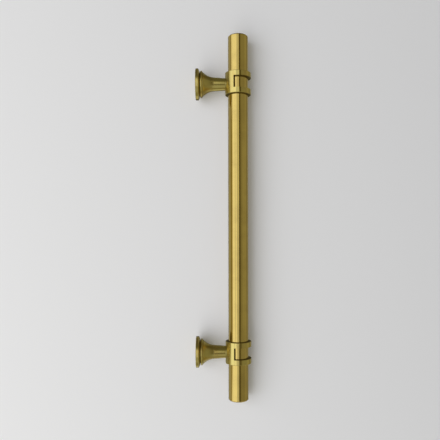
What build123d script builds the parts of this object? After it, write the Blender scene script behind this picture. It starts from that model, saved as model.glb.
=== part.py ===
"""A round bar pull for a door: one bar carried on two turned posts.

Each post is a rose against the door, a stem with a flared foot, and a windowed collar
that the bar passes through. A stud inside the neck joins stem, collar and bar.

Frame, in millimetres: +X points out from the door, +Z runs up along the bar, and the
origin lies on the door's face, midway between the two fixing screws.
"""

import os
from math import radians, tan

from build123d import *

# Overall sizes
hole_spacing = 256.0  # between the two fixing screws
bar_length = 348.0
bar_diameter = 19.0
projection = 40.5  # from the door's face to the bar's axis

# Bar
bar_chamfer = 1.0

# Collar: a sleeve whose middle is cut away on the side that faces the room
collar_length = 21.0
collar_wall = 2.75
collar_edge = 0.4
window_length = 11.2  # the opening between the two end rings
window_setback = 4.6  # from the bar's axis back to the edge of the saddle
seat_wall = 1.25  # metal left in the collar under the end of the neck

# Stem: spigot, undercut, bead, flare and neck, turned in one piece
spigot_diameter = 14.0
spigot_recess = 0.2  # the spigot stops short of the door's face
undercut_diameter = 21.5
undercut_width = 0.7
bead_diameter = 25.2
bead_width = 2.1
step_width = 0.6  # the narrow flat between bead and flare
step_depth = 0.3
flare_angle = 43.0  # between the flare's cone and the post's axis
flare_radius = 15.0  # of the hollow curve between cone and neck
neck_root_diameter = 13.6  # where the cone's line meets the neck's line
neck_tip_diameter = 11.5
neck_chamfer = 0.3

# Rose
rose_diameter = 29.6
rose_thickness = 3.6
rose_edge = 2.6  # height of its straight rim
rose_bevel = 2.0  # width of the sloping face inside the rim
rose_break = 0.3

# Threads, each kept as a plain wall at its outer diameter
fixing_thread = 6.0  # takes the screw through the door
stud_thread = 5.0
stud_in_bar = 7.5
stud_in_stem = 7.2
stud_chamfer = 0.5
socket_width = 2.5  # across the flats of the stud's socket
socket_depth = 2.5
thread_runout = 0.8  # depth of a tapped hole beyond the end of its stud
stem_web = 3.9  # solid metal between the stem's two holes
mouth_chamfer = 0.5
drill_point = 118.0

# Clearances, each on the radius
bar_clearance = 0.05
seat_clearance = 0.05
spigot_clearance = 0.05
stud_clearance = 0.05
stud_passage = 0.2  # round the stud where it goes through the collar


def point_length(radius):
    """The length of the cone that a drill of this radius leaves."""
    return radius / tan(radians(drill_point / 2))


# What follows from them
bar_radius = bar_diameter / 2
bore_radius = bar_radius + bar_clearance
collar_radius = bore_radius + collar_wall
bar_back = projection - bar_radius
neck_end = projection - bore_radius - seat_wall
seat_mouth = projection - collar_radius  # the neck is straight from here to its end
fixing_radius = fixing_thread / 2
stud_hole_radius = stud_thread / 2
bar_hole_depth = stud_in_bar + thread_runout
stem_hole_depth = stud_in_stem + thread_runout
undercut_end = rose_thickness + undercut_width
bead_end = undercut_end + bead_width
flare_start = bead_end + step_width
bead_shoulder = (bead_diameter - bead_width) / 2  # where the bead's round edge begins
flare_foot_radius = bead_shoulder - step_depth
neck_root_radius = neck_root_diameter / 2
neck_tip_radius = neck_tip_diameter / 2
neck_root = flare_start + (flare_foot_radius - neck_root_radius) / tan(radians(flare_angle))
stud_hole_tip = neck_end - stem_hole_depth - point_length(stud_hole_radius)
fixing_depth = stud_hole_tip - stem_web - point_length(fixing_radius) - spigot_recess
posts = {"upper": hole_spacing / 2, "lower": -hole_spacing / 2}


def post_plane(height):
    """The plane of a post's profile: local x is out from the door, local y is the radius."""
    return Plane(origin=(0, 0, height), x_dir=(1, 0, 0), z_dir=(0, -1, 0))


def post_axis(height):
    return Axis((0, 0, height), (1, 0, 0))


def hole_profile(height, radius, mouth, depth, inward, countersink=0.0):
    """Half the outline of a blind hole on a post's axis, with the cone that a drill leaves.

    mouth is where the hole starts, and inward is +1 or -1, the way that it runs along X.
    """
    bottom = mouth + inward * depth
    outline = [(mouth, 0), (mouth, radius + countersink)]
    if countersink:
        outline.append((mouth + inward * countersink, radius))
    outline.append((bottom, radius))
    outline.append((bottom + inward * point_length(radius), 0))
    with BuildSketch(post_plane(height)) as profile:
        with BuildLine():
            Polyline(*outline, close=True)
        make_face()
    return profile.sketch


def make_bar():
    """The solid bar, chamfered at both ends and tapped at the back for the two studs."""
    with BuildPart() as bar:
        with BuildSketch(Plane.XY.offset(-bar_length / 2)):
            with Locations((projection, 0)):
                Circle(bar_radius)
        extrude(amount=bar_length)
        chamfer(bar.edges().filter_by(GeomType.CIRCLE), bar_chamfer)
        for height in posts.values():
            stud_hole = hole_profile(height, stud_hole_radius, bar_back, bar_hole_depth, inward=1)
            revolve(stud_hole, axis=post_axis(height), mode=Mode.SUBTRACT)
    return bar.part


def make_collar(height):
    """A sleeve round the bar: a saddle over the neck, and a full ring at each end."""
    with BuildPart() as collar:
        with BuildSketch(Plane.XY.offset(height - collar_length / 2)):
            with Locations((projection, 0)):
                Circle(collar_radius)
                Circle(bore_radius, mode=Mode.SUBTRACT)
        extrude(amount=collar_length)
        ends = collar.edges().filter_by(GeomType.CIRCLE).filter_by(lambda e: e.radius > bore_radius)
        fillet(ends, collar_edge)
        with BuildSketch(Plane.XY.offset(height - window_length / 2)):
            with Locations((projection - window_setback, 0)):
                Rectangle(2 * collar_radius, 3 * collar_radius, align=(Align.MIN, Align.CENTER))
        extrude(amount=window_length, mode=Mode.SUBTRACT)
        with BuildSketch(Plane.YZ.offset(neck_end)):
            with Locations((0, height)):
                Circle(neck_tip_radius + seat_clearance)
        extrude(amount=-collar_radius, mode=Mode.SUBTRACT)
        with BuildSketch(Plane.YZ.offset(projection)):
            with Locations((0, height)):
                Circle(stud_hole_radius + stud_passage)
        extrude(amount=-collar_radius, mode=Mode.SUBTRACT)
    return collar.part


def make_stem(height):
    """The turned post: its spigot sits in the rose and its neck ends in the collar's seat."""
    spigot_radius = spigot_diameter / 2
    undercut_radius = undercut_diameter / 2
    flare_foot = (flare_start, flare_foot_radius)
    with BuildPart() as stem:
        with BuildSketch(post_plane(height)):
            with BuildLine():
                Polyline(
                    (neck_end, 0),
                    (spigot_recess, 0),
                    (spigot_recess, spigot_radius),
                    (rose_thickness, spigot_radius),
                    (rose_thickness, undercut_radius),
                    (undercut_end, undercut_radius),
                    (undercut_end, bead_shoulder),
                )
                SagittaArc((undercut_end, bead_shoulder), (bead_end, bead_shoulder), bead_width / 2)
                Polyline((bead_end, bead_shoulder), (bead_end, flare_foot_radius), flare_foot)
                FilletPolyline(
                    flare_foot,
                    (neck_root, neck_root_radius),
                    (seat_mouth, neck_tip_radius),
                    radius=flare_radius,
                )
                Polyline((seat_mouth, neck_tip_radius), (neck_end, neck_tip_radius), (neck_end, 0))
            make_face()
        revolve(axis=post_axis(height))
        tip_edge = stem.edges().filter_by(GeomType.CIRCLE).sort_by(Axis.X)[-1]
        chamfer(tip_edge, neck_chamfer)
        fixing_hole = hole_profile(
            height, fixing_radius, spigot_recess, fixing_depth, inward=1, countersink=mouth_chamfer
        )
        stud_hole = hole_profile(
            height, stud_hole_radius, neck_end, stem_hole_depth, inward=-1, countersink=mouth_chamfer
        )
        revolve(fixing_hole, axis=post_axis(height), mode=Mode.SUBTRACT)
        revolve(stud_hole, axis=post_axis(height), mode=Mode.SUBTRACT)
    return stem.part


def make_joining_stud(height):
    """A headless screw from the stem, through the collar, into the bar."""
    start = neck_end - stud_in_stem
    end = bar_back + stud_in_bar
    with BuildPart() as stud:
        with BuildSketch(Plane.YZ.offset(start)):
            with Locations((0, height)):
                Circle(stud_hole_radius - stud_clearance)
        extrude(amount=end - start)
        chamfer(stud.edges().filter_by(GeomType.CIRCLE), stud_chamfer)
        with BuildSketch(Plane.YZ.offset(start)):
            with Locations((0, height)):
                RegularPolygon(socket_width / 2, side_count=6, major_radius=False)
        extrude(amount=socket_depth, mode=Mode.SUBTRACT)
    return stud.part


def make_rose(height):
    """The disc between door and stem, with a straight rim and a sloping face inside it."""
    rose_radius = rose_diameter / 2
    hole_radius = spigot_diameter / 2 + spigot_clearance
    with BuildPart() as rose:
        with BuildSketch(post_plane(height)):
            with BuildLine():
                Polyline(
                    (0, hole_radius),
                    (0, rose_radius - rose_break),
                    (rose_break, rose_radius),
                    (rose_edge, rose_radius),
                    (rose_thickness, rose_radius - rose_bevel),
                    (rose_thickness, hole_radius),
                    close=True,
                )
            make_face()
        revolve(axis=post_axis(height))
    return rose.part


def main():
    pieces = {"bar": make_bar()}
    for side, height in posts.items():
        pieces[f"{side}_collar"] = make_collar(height)
        pieces[f"{side}_stem"] = make_stem(height)
        pieces[f"{side}_joining_stud"] = make_joining_stud(height)
        pieces[f"{side}_rose"] = make_rose(height)
    os.makedirs("parts", exist_ok=True)
    for name, piece in pieces.items():
        piece.label = name
        export_step(piece, f"parts/{name}.step")


main()
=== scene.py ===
"""The looks of a polished brass door pull: its finishes, its screw threads, and the photograph's view.

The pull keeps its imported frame, in metres: +X out from the door, +Z up along the bar, and the
origin on the door's face midway between the two fixing screws. The photograph shows it lying on a
pale floor and seen from above, so in this frame the floor stands upright behind it.
"""

from collections import namedtuple
from math import atan, ceil, cos, pi, radians, sin

import bpy
from bpy.props import FloatProperty, FloatVectorProperty, IntProperty, PointerProperty
from bpy.types import Operator, Panel, PropertyGroup
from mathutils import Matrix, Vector


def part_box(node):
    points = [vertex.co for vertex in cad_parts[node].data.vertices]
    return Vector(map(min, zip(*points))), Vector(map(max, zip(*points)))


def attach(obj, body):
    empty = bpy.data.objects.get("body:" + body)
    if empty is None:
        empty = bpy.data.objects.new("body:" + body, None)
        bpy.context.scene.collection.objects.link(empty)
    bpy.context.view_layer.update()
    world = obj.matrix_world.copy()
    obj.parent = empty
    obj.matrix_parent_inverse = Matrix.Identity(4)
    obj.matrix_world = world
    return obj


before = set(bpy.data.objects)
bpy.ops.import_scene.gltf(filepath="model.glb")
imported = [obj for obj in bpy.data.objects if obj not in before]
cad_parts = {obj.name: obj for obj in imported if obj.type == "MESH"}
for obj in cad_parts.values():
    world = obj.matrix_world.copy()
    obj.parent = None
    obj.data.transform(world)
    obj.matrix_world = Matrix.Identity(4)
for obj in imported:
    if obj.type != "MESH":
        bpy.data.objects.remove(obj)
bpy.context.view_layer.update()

bl_info = {
    "name": "Brass Door Pull",
    "version": (1, 0, 0),
    "blender": (4, 5, 0),
    "location": "3D View > Sidebar > Door Pull",
    "description": "Finishes a brass door pull and lights it as it was photographed",
    "category": "Object",
}

MM = 0.001
SIDES = ("upper", "lower")


def middle(node):
    """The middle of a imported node's box."""
    low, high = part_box(node)
    return (low + high) / 2


def half_size(node):
    """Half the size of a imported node's box, along each axis."""
    low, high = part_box(node)
    return (high - low) / 2


BAR_AXIS = middle("bar")
POST_HEIGHT = middle("upper_rose").z
ROSE_RADIUS = half_size("upper_rose").y
COLLAR_RADIUS = half_size("upper_collar").y
COLLAR_HALF = half_size("upper_collar").z
WINDOW_SETBACK = 4.6 * MM  # from the bar's axis back to the edge of a collar's window
WINDOW_EDGE = BAR_AXIS.x - WINDOW_SETBACK


def linear(hex_colour):
    """The linear colour of an sRGB hex value."""
    values = [int(hex_colour[i:i + 2], 16) / 255 for i in (0, 2, 4)]
    return [v / 12.92 if v <= 0.04045 else ((v + 0.055) / 1.055) ** 2.4 for v in values]


def colour_property(name, description, hex_colour):
    return FloatVectorProperty(
        name=name, description=description, subtype="COLOR", size=3, min=0, max=1,
        default=linear(hex_colour),
    )


class DOORPULL_PG_brass(PropertyGroup):
    """The brass and how it was worked."""

    drawn: colour_property("Drawn", "The bar's brass where it is clean", "E1C469")
    turned: colour_property(
        "Turned", "The other pieces' brass, which cuts well and is a little greener", "E0CC72"
    )
    tarnished: colour_property("Tarnished", "Brass where the air has dulled it", "D7BA64")
    # Painted shade: this brown darkens grooves, corners and hollows where shade falls, and is not a
    # colour of the brass itself
    painted_shade_brown: colour_property("Painted shade", "Brass in grooves and corners, brown with age", "6B5E24")
    roughness: FloatProperty(
        name="Roughness", description="Of the clean, polished metal", default=0.10, min=0, max=1
    )
    # How rough the metal is where the painted shade lies
    painted_shade_roughness: FloatProperty(
        name="Unbuffed roughness", description="Where the wheel doesn't reach", default=0.55,
        min=0, max=1,
    )
    dulled: FloatProperty(
        name="Dulled", description="Roughness added where it is tarnished", default=0.06, min=0, max=1
    )
    patch: FloatProperty(
        name="Patch", description="Width of a tarnished patch", default=14 * MM, unit="LENGTH"
    )
    line: FloatProperty(
        name="Line", description="Spacing of the polishing and turning lines. Real ones are a tenth"
        " of this, too fine to show", default=0.5 * MM, unit="LENGTH",
    )
    line_length: FloatProperty(
        name="Line length", description="Of a polishing line along the bar", default=70 * MM,
        unit="LENGTH",
    )
    line_depth: FloatProperty(
        name="Line depth", description="Of the lines", default=0.0015 * MM, unit="LENGTH"
    )


class DOORPULL_PG_steel(PropertyGroup):
    """The steel of the hidden studs."""

    plated: colour_property("Plated", "Its zinc plating, grey and a little blue", "B4B9BE")
    crystal: FloatProperty(
        name="Crystal", description="Width of a crystal of the zinc", default=0.6 * MM, unit="LENGTH"
    )
    smoothest: FloatProperty(
        name="Smoothest", description="Roughness of the smoothest crystals", default=0.3,
        min=0, max=1,
    )
    roughest: FloatProperty(
        name="Roughest", description="Roughness of the roughest crystals", default=0.42,
        min=0, max=1,
    )
    relief: FloatProperty(
        name="Relief", description="Height of the crystals", default=0.002 * MM, unit="LENGTH"
    )


class DOORPULL_PG_thread(PropertyGroup):
    """The thread in each fixing hole, of the ISO metric form."""

    outer_radius: FloatProperty(
        name="Outer radius", description="Of the hole's wall", default=3 * MM, unit="LENGTH"
    )
    inner_radius: FloatProperty(
        name="Inner radius", description="Of the ridge's crest", default=2.46 * MM, unit="LENGTH"
    )
    pitch: FloatProperty(
        name="Pitch", description="From one turn to the next", default=1 * MM, unit="LENGTH"
    )
    start: FloatProperty(
        name="Start", description="Where the full ridge begins, from the door's face",
        default=0.7 * MM, unit="LENGTH",
    )
    end: FloatProperty(
        name="End", description="Where it stops, from the door's face", default=13.9 * MM,
        unit="LENGTH",
    )
    steps: IntProperty(name="Steps", description="Faces round one turn", default=48)


class DOORPULL_PG_view(PropertyGroup):
    """The photograph's camera, the floor that the pull lies on, and the light."""

    distance: FloatProperty(
        name="Distance", description="From the camera to the bar's axis", default=500 * MM,
        unit="LENGTH",
    )
    azimuth: FloatProperty(
        name="Azimuth", description="Of the camera round the pull", default=0.0, unit="ROTATION"
    )
    roll: FloatProperty(
        name="Roll", description="Of the camera about its own axis", default=radians(0.11),
        unit="ROTATION",
    )
    aside: FloatProperty(
        name="Aside", description="From the bar's axis to the camera's, towards the door",
        default=17.5 * MM, unit="LENGTH",
    )
    below: FloatProperty(
        name="Below", description="From the bar's middle down to the camera's axis",
        default=17 * MM, unit="LENGTH",
    )
    field: FloatProperty(
        name="Field", description="Angle of view across the picture", default=radians(45.7),
        unit="ROTATION",
    )
    shift: FloatProperty(
        name="Shift", description="Of the picture, as a share of its height", default=0.0361
    )
    nearest: FloatProperty(
        name="Nearest", description="What stands nearer to the camera isn't seen", default=10 * MM,
        unit="LENGTH",
    )
    floor_gap: FloatProperty(
        name="Floor gap", description="From the pull to the floor behind it", default=0.3 * MM,
        unit="LENGTH",
    )
    floor_size: FloatProperty(
        name="Floor size", description="Across the floor", default=6.0, unit="LENGTH"
    )
    # Painted light: the floor's colour runs from this paler shade on the lamp's side to a darker one
    # away from it
    floor_painted_lit: colour_property("Floor", "On the side that the light comes from", "E8E7E2")
    floor_painted_dim: colour_property("Floor away", "On the side away from the light", "DDDCD7")
    palest: FloatProperty(
        name="Palest", description="Where the floor is at its palest, out from the door",
        default=-0.20, unit="LENGTH",
    )
    dimmest: FloatProperty(
        name="Dimmest", description="Where the floor is at its dimmest, out from the door",
        default=0.25, unit="LENGTH",
    )
    lift: FloatProperty(
        name="Lift", description="How much paler the floor is to the camera than its light makes it",
        default=0.12,
    )
    sky: colour_property("Sky", "Past the floor's edge, and round the pull seen from behind", "D2D2D1")
    lamp_azimuth: FloatProperty(
        name="Lamp azimuth", description="Of the soft lamp round the pull", default=radians(-40),
        unit="ROTATION",
    )
    lamp_elevation: FloatProperty(
        name="Lamp elevation", description="Of the soft lamp above the pull's middle",
        default=radians(-22), unit="ROTATION",
    )
    lamp_distance: FloatProperty(
        name="Lamp distance", description="From the pull to the soft lamp", default=1.3, unit="LENGTH"
    )
    lamp_width: FloatProperty(
        name="Lamp width", description="Across the soft lamp, which is twice as high", default=1.3,
        unit="LENGTH",
    )
    lamp_power: FloatProperty(name="Lamp power", description="In watts", default=12.7)


def add(tree, kind, sockets=None, **fields):
    """Adds a node. fields are its own settings, and sockets gives each input a value or an output."""
    node = tree.nodes.new(kind)
    for name, value in fields.items():
        setattr(node, name, value)
    for name, value in (sockets or {}).items():
        if isinstance(value, bpy.types.NodeSocket):
            tree.links.new(value, node.inputs[name])
        else:
            node.inputs[name].default_value = value
    return node


def empty_material(name):
    material = bpy.data.materials.new(name)
    material.use_nodes = True
    material.node_tree.nodes.clear()
    return material


def past_post(tree, height):
    """How far a place stands past its post's axis. The lower post mirrors the upper one."""
    mirrored = add(tree, "ShaderNodeMath", {0: height}, operation="ABSOLUTE").outputs[0]
    return add(
        tree, "ShaderNodeMath", {0: mirrored, 1: POST_HEIGHT}, operation="SUBTRACT"
    ).outputs[0]


def turned_lines(tree, along, across, size):
    """Coordinates for lines turned about an axis: they change along it and with the radius alone.

    across holds the two distances from the axis.
    """
    flat = add(tree, "ShaderNodeCombineXYZ", {"X": across[0], "Y": across[1]})
    radius = add(tree, "ShaderNodeVectorMath", {0: flat.outputs[0]}, operation="LENGTH")
    turned = add(tree, "ShaderNodeCombineXYZ", {"X": along, "Y": radius.outputs["Value"]})
    spacing = (1 / size.line, 1 / size.line, 1)
    return add(tree, "ShaderNodeMapping", {"Vector": turned.outputs[0], "Scale": spacing}).outputs[0]


def along_the_bar(tree, place, size):
    """Coordinates for lines that run along the bar, from buffing it lengthwise."""
    spacing = (1 / size.line, 1 / size.line, 1 / size.line_length)
    return add(tree, "ShaderNodeMapping", {"Vector": place, "Scale": spacing}).outputs[0]


def round_the_bar(tree, place, size):
    """Coordinates for lines turned about the bar's axis."""
    axis = add(tree, "ShaderNodeMapping", {"Vector": place, "Location": (-BAR_AXIS.x, 0, 0)})
    split = add(tree, "ShaderNodeSeparateXYZ", {0: axis.outputs[0]}).outputs
    return turned_lines(tree, split["Z"], (split["X"], split["Y"]), size)


def round_the_post(tree, place, size):
    """Coordinates for lines turned about each post's axis."""
    split = add(tree, "ShaderNodeSeparateXYZ", {0: place}).outputs
    return turned_lines(tree, split["X"], (split["Y"], past_post(tree, split["Z"])), size)


# A change over a surface, for the random tarnish and for the painted shade: none at one value, and up
# to a level at another
Fade = namedtuple("Fade", "bright dulled level")

# By the value of the noise that makes the patches
TARNISH = Fade(0.38, 0.68, 1.0)

# Painted shade, by the distance out from the door
BAR_EDGE_SHADE = Fade(WINDOW_EDGE + 1.55 * MM, WINDOW_EDGE + 1.15 * MM, 1.0)
COLLAR_BACK_SHADE = Fade(BAR_AXIS.x - 7.5 * MM, BAR_AXIS.x - 9.5 * MM, 0.53)

# Painted shade, by the share of a surface's normal that points along the bar, which is 1 on a collar's
# end face
COLLAR_END_SHADE = Fade(0.85, 0.97, 0.95)

# The painted shade on a post, which also roughens it, by millimetres out from the door: dark in the
# grooves by the rose and the bead, lighter on the hollow flare and at the neck's seat
POST_SHADE_LEVELS = (
    (0.0, 0.0),
    (3.2, 0.2),
    (3.5, 0.8),
    (4.3, 0.8),
    (4.6, 0.2),
    (6.2, 0.2),
    (6.5, 0.7),
    (6.9, 0.7),
    (7.2, 0.45),
    (15.5, 0.45),
    (18.5, 0.0),
    (27.6, 0.0),
    (28.2, 0.5),
)


def painted_shade_on_bar(tree, place):
    """Painted shade on the bar, which also roughens it: a dark strip along each window's edge inside
    the collars, where the collar's edge shades the bar and is reflected in it.
    """
    split = add(tree, "ShaderNodeSeparateXYZ", {0: place}).outputs
    corner = add(
        tree, "ShaderNodeMapRange",
        {
            "Value": split["X"],
            "From Min": BAR_EDGE_SHADE.bright,
            "From Max": BAR_EDGE_SHADE.dulled,
            "To Max": BAR_EDGE_SHADE.level,
        },
    )
    off_post = past_post(tree, split["Z"])
    away = add(tree, "ShaderNodeMath", {0: off_post}, operation="ABSOLUTE")
    in_collar = add(
        tree, "ShaderNodeMath", {0: away.outputs[0], 1: COLLAR_HALF}, operation="LESS_THAN"
    )
    return add(
        tree, "ShaderNodeMath", {0: corner.outputs[0], 1: in_collar.outputs[0]},
        operation="MULTIPLY",
    ).outputs[0]


def painted_shade_on_collar(tree, place):
    """Painted shade on a collar, which also roughens it: on its end faces, and on its back beside the
    neck, where the brass reflects itself.
    """
    split = add(tree, "ShaderNodeSeparateXYZ", {0: place}).outputs
    back = add(
        tree, "ShaderNodeMapRange",
        {
            "Value": split["X"],
            "From Min": COLLAR_BACK_SHADE.bright,
            "From Max": COLLAR_BACK_SHADE.dulled,
            "To Max": COLLAR_BACK_SHADE.level,
        },
        interpolation_type="SMOOTHSTEP",
    )
    normal = add(tree, "ShaderNodeTexCoord").outputs["Normal"]
    facing = add(tree, "ShaderNodeSeparateXYZ", {0: normal}).outputs
    endwise = add(tree, "ShaderNodeMath", {0: facing["Z"]}, operation="ABSOLUTE")
    ends = add(
        tree, "ShaderNodeMapRange",
        {
            "Value": endwise.outputs[0],
            "From Min": COLLAR_END_SHADE.bright,
            "From Max": COLLAR_END_SHADE.dulled,
            "To Max": COLLAR_END_SHADE.level,
        },
    )
    return add(
        tree, "ShaderNodeMath", {0: back.outputs[0], 1: ends.outputs[0]}, operation="MAXIMUM"
    ).outputs[0]


def painted_shade_on_post(tree, place):
    """Painted shade on a post, which also roughens it: brown in its grooves, lighter on its hollow
    flare.
    """
    split = add(tree, "ShaderNodeSeparateXYZ", {0: place}).outputs
    length = POST_SHADE_LEVELS[-1][0]
    share = add(tree, "ShaderNodeMath", {0: split["X"], 1: length * MM}, operation="DIVIDE")
    ramp = add(tree, "ShaderNodeValToRGB", {0: share.outputs[0]})
    stops = ramp.color_ramp.elements
    stops.remove(stops[-1])
    stops[0].color = (0, 0, 0, 1)
    for out, level in POST_SHADE_LEVELS[1:]:
        stops.new(out / length).color = (level, level, level, 1)
    return ramp.outputs[0]


def polished_brass(name, clean, lines, painted_shade=None):
    """Yellow brass, polished to a mirror and left bare, so that the air has dulled it in patches.

    The eye sees crisp streaks of the room in it, drawn out a little by the fine lines that
    polishing left, and a slow change between clean gold and a darker, duller brown-gold. Where
    a shade mask is given, it blurs the reflections and paints brown shade into hollows and corners.
    """
    size = bpy.context.scene.door_pull_brass
    material = empty_material(name)
    tree = material.node_tree
    place = add(tree, "ShaderNodeTexCoord").outputs["Object"]
    patches = add(
        tree, "ShaderNodeTexNoise",
        {"Vector": place, "Scale": 1 / size.patch, "Detail": 5, "Roughness": 0.62},
    )
    tarnish = add(
        tree, "ShaderNodeMapRange",
        {
            "Value": patches.outputs["Fac"],
            "From Min": TARNISH.bright,
            "From Max": TARNISH.dulled,
            "To Max": TARNISH.level,
        },
        interpolation_type="SMOOTHSTEP",
    ).outputs[0]
    colour = add(
        tree, "ShaderNodeMix", {"Factor": tarnish, "A": (*clean, 1), "B": (*size.tarnished, 1)},
        data_type="RGBA",
    ).outputs["Result"]
    fine_lines = add(
        tree, "ShaderNodeTexNoise",
        {"Vector": lines(tree, place, size), "Scale": 1, "Detail": 2, "Roughness": 0.5},
    ).outputs["Fac"]
    uneven = add(tree, "ShaderNodeMath", {0: tarnish, 1: fine_lines}, operation="MULTIPLY")
    roughness = add(
        tree, "ShaderNodeMapRange",
        {
            "Value": uneven.outputs[0],
            "To Min": size.roughness,
            "To Max": size.roughness + size.dulled,
        },
    ).outputs[0]
    # Painted shade: the mask darkens the colour towards brown where shade falls in hollows and
    # corners, and makes the metal rougher there
    if painted_shade:
        shade_mask = painted_shade(tree, place)
        shade_darkening = add(tree, "ShaderNodeMath", {0: shade_mask, 1: 2}, operation="POWER").outputs[0]
        colour = add(
            tree, "ShaderNodeMix", {"Factor": shade_darkening, "A": colour, "B": (*size.painted_shade_brown, 1)},
            data_type="RGBA",
        ).outputs["Result"]
        roughness = add(
            tree, "ShaderNodeMix", {"Factor": shade_mask, "A": roughness, "B": size.painted_shade_roughness}
        ).outputs["Result"]
    relief = add(
        tree, "ShaderNodeBump", {"Height": fine_lines, "Distance": size.line_depth, "Strength": 1}
    )
    shader = add(
        tree, "ShaderNodeBsdfPrincipled",
        {
            "Base Color": colour,
            "Metallic": 1,
            "Roughness": roughness,
            "Normal": relief.outputs[0],
        },
    )
    add(tree, "ShaderNodeOutputMaterial", {"Surface": shader.outputs[0]})
    return material


def zinc_plated_steel():
    """Steel wire rolled into a screw and zinc plated: grey, a little blue and evenly dull."""
    size = bpy.context.scene.door_pull_steel
    material = empty_material("zinc_plated_steel")
    tree = material.node_tree
    place = add(tree, "ShaderNodeTexCoord").outputs["Object"]
    crystals = add(
        tree, "ShaderNodeTexNoise", {"Vector": place, "Scale": 1 / size.crystal, "Detail": 3}
    ).outputs["Fac"]
    roughness = add(
        tree, "ShaderNodeMapRange",
        {"Value": crystals, "To Min": size.smoothest, "To Max": size.roughest},
    )
    relief = add(tree, "ShaderNodeBump", {"Height": crystals, "Distance": size.relief})
    shader = add(
        tree, "ShaderNodeBsdfPrincipled",
        {
            "Base Color": (*size.plated, 1),
            "Metallic": 1,
            "Roughness": roughness.outputs[0],
            "Normal": relief.outputs[0],
        },
    )
    add(tree, "ShaderNodeOutputMaterial", {"Surface": shader.outputs[0]})
    return material


def finish_nodes(nodes, material):
    """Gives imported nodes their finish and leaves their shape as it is."""
    for node in nodes:
        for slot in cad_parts[node].material_slots:
            slot.material = material


def deselect():
    if bpy.context.mode != "OBJECT":
        bpy.ops.object.mode_set(mode="OBJECT")
    bpy.ops.object.select_all(action="DESELECT")


class DOORPULL_OT_bar(Operator):
    """Finish the bar as drawn brass rod, buffed along its length"""

    bl_idname = "door_pull.bar"
    bl_label = "Bar"

    def execute(self, context):
        clean = context.scene.door_pull_brass.drawn
        brass = polished_brass("buffed_drawn_brass", clean, along_the_bar, painted_shade_on_bar)
        finish_nodes(["bar"], brass)
        return {"FINISHED"}


class DOORPULL_OT_collars(Operator):
    """Finish the windowed collars as turned brass"""

    bl_idname = "door_pull.collars"
    bl_label = "Collars"

    def execute(self, context):
        clean = context.scene.door_pull_brass.turned
        brass = polished_brass("turned_brass_collar", clean, round_the_bar, painted_shade_on_collar)
        finish_nodes([f"{side}_collar" for side in SIDES], brass)
        return {"FINISHED"}


class DOORPULL_OT_posts(Operator):
    """Finish the stems and roses as turned brass"""

    bl_idname = "door_pull.posts"
    bl_label = "Posts"

    def execute(self, context):
        clean = context.scene.door_pull_brass.turned
        brass = polished_brass("turned_brass_post", clean, round_the_post, painted_shade_on_post)
        posts = [f"{side}_{piece}" for side in SIDES for piece in ("stem", "rose")]
        finish_nodes(posts, brass)
        return {"FINISHED"}


# The ridge's widths where it stands on the wall and at its crest, as shares of its pitch
RIDGE_BASE = 7 / 8
RIDGE_CREST = 1 / 4
ROOT_OVERLAP = 0.02 * MM  # how far the ridge's root reaches into the wall
SPARE_TURNS = 2  # one past each end, which the cuts take off
SAME_POINT = 0.001 * MM  # points nearer to each other than this are one
SMOOTH_ANGLE = radians(20)


def cut_thread(side, height, thread):
    """A thread's ridge on the wall of a fixing hole, with flanks at 60 degrees and a flat crest."""
    root = thread.outer_radius + ROOT_OVERLAP
    middle_radius = (root + thread.inner_radius) / 2
    base = RIDGE_BASE * thread.pitch
    crest = RIDGE_CREST * thread.pitch
    first_turn = thread.start - thread.pitch
    deselect()
    # The outline is a square stood on the wall, and drawn in at its crest
    bpy.ops.mesh.primitive_plane_add(size=1, location=(0, 0, height))
    ridge = bpy.context.object
    ridge.name = f"{side}_screw_thread"
    bpy.ops.object.mode_set(mode="EDIT")
    bpy.ops.transform.rotate(value=pi / 2, orient_axis="X", center_override=(0, 0, height))
    bpy.ops.transform.resize(
        value=(base, 1, root - thread.inner_radius), center_override=(0, 0, height)
    )
    bpy.ops.transform.translate(value=(first_turn, 0, middle_radius))
    bpy.ops.object.mode_set(mode="OBJECT")
    for vertex in ridge.data.vertices:
        vertex.select = vertex.co.z < middle_radius
    bpy.ops.object.mode_set(mode="EDIT")
    bpy.ops.transform.resize(
        value=(crest / base, 1, 1), center_override=(first_turn, 0, height + thread.inner_radius)
    )
    bpy.ops.mesh.select_all(action="SELECT")
    bpy.ops.mesh.delete(type="ONLY_FACE")
    bpy.ops.object.mode_set(mode="OBJECT")
    # Turned about the post's axis, the outline leaves a helical tube
    turn = ridge.modifiers.new("thread", "SCREW")
    turn.axis = "X"
    turn.steps = thread.steps
    turn.render_steps = thread.steps
    turn.screw_offset = thread.pitch
    turn.iterations = ceil((thread.end - thread.start) / thread.pitch) + SPARE_TURNS
    bpy.ops.object.modifier_apply(modifier=turn.name)
    # The tube is cut off square at both ends, closed there and merged to one skin
    bpy.ops.object.mode_set(mode="EDIT")
    for place, facing in ((thread.start, -1), (thread.end, 1)):
        bpy.ops.mesh.select_all(action="SELECT")
        bpy.ops.mesh.bisect(
            plane_co=(place, 0, height), plane_no=(facing, 0, 0), use_fill=True, clear_outer=True,
            threshold=SAME_POINT,
        )
    bpy.ops.mesh.select_all(action="SELECT")
    bpy.ops.mesh.remove_doubles(threshold=SAME_POINT)
    bpy.ops.mesh.normals_make_consistent(inside=False)
    bpy.ops.object.mode_set(mode="OBJECT")
    bpy.ops.object.transform_apply(location=True, rotation=True, scale=True)
    bpy.ops.object.shade_smooth_by_angle(angle=SMOOTH_ANGLE)
    return ridge


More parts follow.
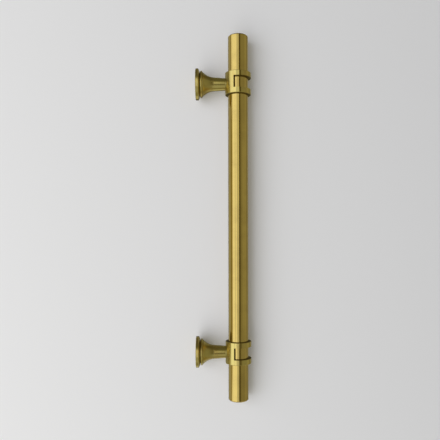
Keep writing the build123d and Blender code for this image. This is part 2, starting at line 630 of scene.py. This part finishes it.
class DOORPULL_OT_screw_threads(Operator):
    """Cut the thread in each fixing hole, which the door's screw turns into"""

    bl_idname = "door_pull.screw_threads"
    bl_label = "Screw threads"

    def execute(self, context):
        clean = context.scene.door_pull_brass.turned
        # The thread gets no painted shade, and the tap leaves it bright all over
        brass = polished_brass("tapped_brass", clean, round_the_post)
        for side, height in zip(SIDES, (POST_HEIGHT, -POST_HEIGHT)):
            ridge = cut_thread(side, height, context.scene.door_pull_thread)
            ridge.data.materials.append(brass)
            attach(ridge, "root")
        return {"FINISHED"}


class DOORPULL_OT_joining_studs(Operator):
    """Finish the hidden screws that join stem, collar and bar"""

    bl_idname = "door_pull.joining_studs"
    bl_label = "Joining studs"

    def execute(self, context):
        finish_nodes([f"{side}_joining_stud" for side in SIDES], zinc_plated_steel())
        return {"FINISHED"}


class DOORPULL_OT_stage(Operator):
    """Set the photograph's view: the floor behind the pull, the studio round it and the camera"""

    bl_idname = "door_pull.stage"
    bl_label = "Stage"

    def execute(self, context):
        make_floor(context)
        light_studio(context)
        hang_lamp(context)
        place_camera(context)
        return {"FINISHED"}


def lying_tilt():
    """How far the lying pull tips: its roses are wider than its collars, and both touch the floor."""
    return atan((ROSE_RADIUS - COLLAR_RADIUS) / BAR_AXIS.x)


def make_floor(context):
    """The pale floor, seen only from the pull's side, so that it never hides the pull from behind."""
    view = context.scene.door_pull_view
    deselect()
    bpy.ops.mesh.primitive_plane_add(
        size=view.floor_size,
        location=(0, ROSE_RADIUS + view.floor_gap, 0),
        rotation=(pi / 2, 0, -lying_tilt()),
    )
    floor = context.object
    floor.name = "floor"
    bpy.ops.object.transform_apply(location=True, rotation=True, scale=True)
    floor.data.materials.append(painted_floor(view))
    # The photographed metal stays dark beside the pale floor, so the floor isn't seen in the brass
    floor.visible_glossy = False
    floor.visible_shadow = False


def any_ray(tree, *kinds):
    """1 for a ray of one of these kinds, which Light Path names, and 0 for the others."""
    rays = add(tree, "ShaderNodeLightPath").outputs
    found = rays[kinds[0]]
    for kind in kinds[1:]:
        found = add(
            tree, "ShaderNodeMath", {0: found, 1: rays[kind]}, operation="MAXIMUM"
        ).outputs[0]
    return found


def painted_floor(view):
    """Matt white paint with painted light, paler on the lamp's side and darker away from it, and seen
    paler than its light makes it.
    """
    material = empty_material("matt_white_paint")
    tree = material.node_tree
    place = add(tree, "ShaderNodeTexCoord").outputs["Object"]
    split = add(tree, "ShaderNodeSeparateXYZ", {0: place})
    across = add(
        tree, "ShaderNodeMapRange",
        {"Value": split.outputs["X"], "From Min": view.palest, "From Max": view.dimmest},
    )
    # Painted light: the colour is paler towards the lamp and darker away from it
    colour = add(
        tree, "ShaderNodeMix",
        {"Factor": across.outputs[0], "A": (*view.floor_painted_lit, 1), "B": (*view.floor_painted_dim, 1)},
        data_type="RGBA",
    ).outputs["Result"]
    paint = add(tree, "ShaderNodeBsdfDiffuse", {"Color": colour})
    lift = add(tree, "ShaderNodeEmission", {"Color": colour, "Strength": view.lift})
    lifted = add(tree, "ShaderNodeAddShader", {0: paint.outputs[0], 1: lift.outputs[0]})
    seen = any_ray(tree, "Is Camera Ray", "Is Glossy Ray", "Is Transmission Ray")
    front = add(
        tree, "ShaderNodeMixShader", {0: seen, 1: paint.outputs[0], 2: lifted.outputs[0]}
    )
    nothing = add(tree, "ShaderNodeBsdfTransparent")
    behind = add(tree, "ShaderNodeNewGeometry").outputs["Backfacing"]
    surface = add(
        tree, "ShaderNodeMixShader", {0: behind, 1: front.outputs[0], 2: nothing.outputs[0]}
    )
    add(tree, "ShaderNodeOutputMaterial", {"Surface": surface.outputs[0]})
    return material


SoftPanel = namedtuple("SoftPanel", "azimuth elevation width height soft level tint")

# The studio round the pull, painted one panel over the other. Angles are in degrees: azimuth 0
# is the camera's side, and 90 is straight out from the door. soft is the width of a blurred edge.
WARM = (1.0, 0.98, 0.80)
COOL = (1.0, 1.04, 1.30)
NEUTRAL = (1.0, 1.03, 1.12)
WOOD = (1.0, 0.84, 0.28)
ROOM_LEVEL = 0.31
STUDIO = {
    "left_wall": SoftPanel(-120, 0, 46, 150, 10, 0.36, NEUTRAL),
    "wooden_frame": SoftPanel(-87, 0, 20, 150, 8, 0.27, WOOD),
    "window": SoftPanel(-44, 0, 56, 52, 14, 1.05, COOL),
    "window_top": SoftPanel(-77, 22, 18, 14, 8, 0.95, COOL),
    "window_foot": SoftPanel(-77, -22, 18, 14, 8, 0.95, COOL),
    "glazing_bar": SoftPanel(-37, 0, 9, 26, 6, 0.73, COOL),
    "doorway_side": SoftPanel(33, 0, 26, 150, 14, 0.24, WARM),
    "dark_doorway": SoftPanel(15.5, 0, 18, 60, 8, 0.08, WOOD),
    "curtain": SoftPanel(-5, 0, 23, 56, 6, 0.65, COOL),
    "shaded_wall": SoftPanel(120, 0, 26, 150, 14, 0.22, WARM),
    "wall_top": SoftPanel(58, 19, 44, 14, 8, 0.25, WARM),
    "wall_foot": SoftPanel(58, -17, 44, 12, 8, 0.25, WARM),
    "dark_behind": SoftPanel(180, 0, 40, 60, 16, 0.10, WARM),
    "pale_behind": SoftPanel(180, -54, 120, 34, 12, 0.50, NEUTRAL),
    "ceiling": SoftPanel(0, 90, 360, 100, 20, 0.12, WARM),
    "lamp": SoftPanel(1, 11, 14, 17, 5, 0.70, NEUTRAL),
    "below": SoftPanel(8, -16, 12, 16, 6, 0.18, WARM),
    "low_glow": SoftPanel(-10, -52, 90, 40, 12, 0.38, NEUTRAL),
    "low_shade": SoftPanel(0, -90, 360, 30, 12, 0.26, WARM),
}


def panel_mask(tree, direction, name, panel):
    """Where a panel stands round the pull: 1 on it, and 0 past its soft edges."""
    turned = add(
        tree, "ShaderNodeVectorRotate", {"Vector": direction, "Angle": radians(-panel.azimuth)},
        rotation_type="Z_AXIS", label=name,
    )
    split = add(tree, "ShaderNodeSeparateXYZ", {0: turned.outputs[0]}).outputs
    front = add(tree, "ShaderNodeMath", {0: split["Y"], 1: -1}, operation="MULTIPLY")
    aside = add(
        tree, "ShaderNodeMath", {0: split["X"], 1: front.outputs[0]}, operation="ARCTAN2"
    )
    up = add(tree, "ShaderNodeMath", {0: split["Z"]}, operation="ARCSINE")
    above = add(
        tree, "ShaderNodeMath", {0: up.outputs[0], 1: radians(panel.elevation)},
        operation="SUBTRACT",
    )
    masks = []
    for angle, reach in ((aside, panel.width), (above, panel.height)):
        away = add(tree, "ShaderNodeMath", {0: angle.outputs[0]}, operation="ABSOLUTE")
        masks.append(add(
            tree, "ShaderNodeMapRange",
            {
                "Value": away.outputs[0],
                "From Min": radians((reach + panel.soft) / 2),
                "From Max": radians((reach - panel.soft) / 2),
            },
            interpolation_type="SMOOTHSTEP",
        ).outputs[0])
    return add(tree, "ShaderNodeMath", {0: masks[0], 1: masks[1]}, operation="MULTIPLY").outputs[0]


def light_studio(context):
    """The world: soft panels round the pull for its light and reflections, and a plain pale sky."""
    world = bpy.data.worlds.new("studio")
    context.scene.world = world
    world.use_nodes = True
    tree = world.node_tree
    tree.nodes.clear()
    direction = add(tree, "ShaderNodeTexCoord").outputs["Generated"]
    room = dict(zip(("Red", "Green", "Blue"), (ROOM_LEVEL * share for share in WARM)))
    painted = add(tree, "ShaderNodeCombineColor", room).outputs[0]
    for name, panel in STUDIO.items():
        mask = panel_mask(tree, direction, name, panel)
        shade = [panel.level * share for share in panel.tint]
        painted = add(
            tree, "ShaderNodeMix", {"Factor": mask, "A": painted, "B": (*shade, 1)},
            data_type="RGBA",
        ).outputs["Result"]
    studio = add(tree, "ShaderNodeBackground", {"Color": painted})
    sky_colour = context.scene.door_pull_view.sky
    sky = add(tree, "ShaderNodeBackground", {"Color": (*sky_colour, 1)})
    # Polished metal shows the room it is in, so glossy rays see the studio and not the sky
    straight = any_ray(tree, "Is Camera Ray", "Is Transmission Ray")
    seen = add(
        tree, "ShaderNodeMixShader", {0: straight, 1: studio.outputs[0], 2: sky.outputs[0]}
    )
    add(tree, "ShaderNodeOutputWorld", {"Surface": seen.outputs[0]})


def hang_lamp(context):
    """A broad soft lamp on the window's side, for the floor's light and the pull's soft shadow."""
    view = context.scene.door_pull_view
    level = cos(view.lamp_elevation)
    toward = Vector((
        level * sin(view.lamp_azimuth), -level * cos(view.lamp_azimuth), sin(view.lamp_elevation)
    ))
    deselect()
    bpy.ops.object.light_add(
        type="AREA",
        location=toward * view.lamp_distance,
        rotation=(pi / 2 - view.lamp_elevation, 0, view.lamp_azimuth),
    )
    lamp = context.object
    lamp.name = "soft_lamp"
    lamp.data.shape = "RECTANGLE"
    lamp.data.size = view.lamp_width
    lamp.data.size_y = 2 * view.lamp_width
    lamp.data.energy = view.lamp_power
    lamp.visible_glossy = False


def place_camera(context):
    """The photograph's camera, level with the pull and square to the floor."""
    view = context.scene.door_pull_view
    aside = Vector((-view.aside * cos(view.azimuth), -view.aside * sin(view.azimuth), -view.below))
    back = Vector((sin(view.azimuth), -cos(view.azimuth), 0)) * view.distance
    deselect()
    bpy.ops.object.camera_add(
        location=BAR_AXIS + aside + back, rotation=(pi / 2, view.roll, view.azimuth)
    )
    camera = context.object
    camera.name = "photo_camera"
    camera.data.angle = view.field
    camera.data.shift_y = view.shift
    camera.data.clip_start = view.nearest
    context.scene.camera = camera
    context.scene.view_settings.view_transform = "Standard"


class DOORPULL_PT_sidebar(Panel):
    """Lists the pull's sizes and colours, and a button for each step"""

    bl_idname = "DOORPULL_PT_sidebar"
    bl_label = "Door Pull"
    bl_space_type = "VIEW_3D"
    bl_region_type = "UI"
    bl_category = "Door Pull"

    def draw(self, context):
        for title, group in GROUPS.items():
            box = self.layout.box()
            box.label(text=title)
            values = getattr(context.scene, group.scene_name)
            for name in group.kind.__annotations__:
                box.prop(values, name)
        for step in STEPS:
            self.layout.operator(step.bl_idname)


Group = namedtuple("Group", "scene_name kind")
GROUPS = {
    "Brass": Group("door_pull_brass", DOORPULL_PG_brass),
    "Steel": Group("door_pull_steel", DOORPULL_PG_steel),
    "Thread": Group("door_pull_thread", DOORPULL_PG_thread),
    "View": Group("door_pull_view", DOORPULL_PG_view),
}
STEPS = (
    DOORPULL_OT_bar,
    DOORPULL_OT_collars,
    DOORPULL_OT_posts,
    DOORPULL_OT_screw_threads,
    DOORPULL_OT_joining_studs,
    DOORPULL_OT_stage,
)
CLASSES = (*(group.kind for group in GROUPS.values()), *STEPS, DOORPULL_PT_sidebar)


def register():
    for kind in CLASSES:
        bpy.utils.register_class(kind)
    for group in GROUPS.values():
        setattr(bpy.types.Scene, group.scene_name, PointerProperty(type=group.kind))


def unregister():
    for group in GROUPS.values():
        delattr(bpy.types.Scene, group.scene_name)
    for kind in reversed(CLASSES):
        bpy.utils.unregister_class(kind)


def main():
    register()
    bpy.ops.door_pull.bar()
    bpy.ops.door_pull.collars()
    bpy.ops.door_pull.posts()
    bpy.ops.door_pull.screw_threads()
    bpy.ops.door_pull.joining_studs()
    bpy.ops.door_pull.stage()


if __name__ == "__main__":
    main()
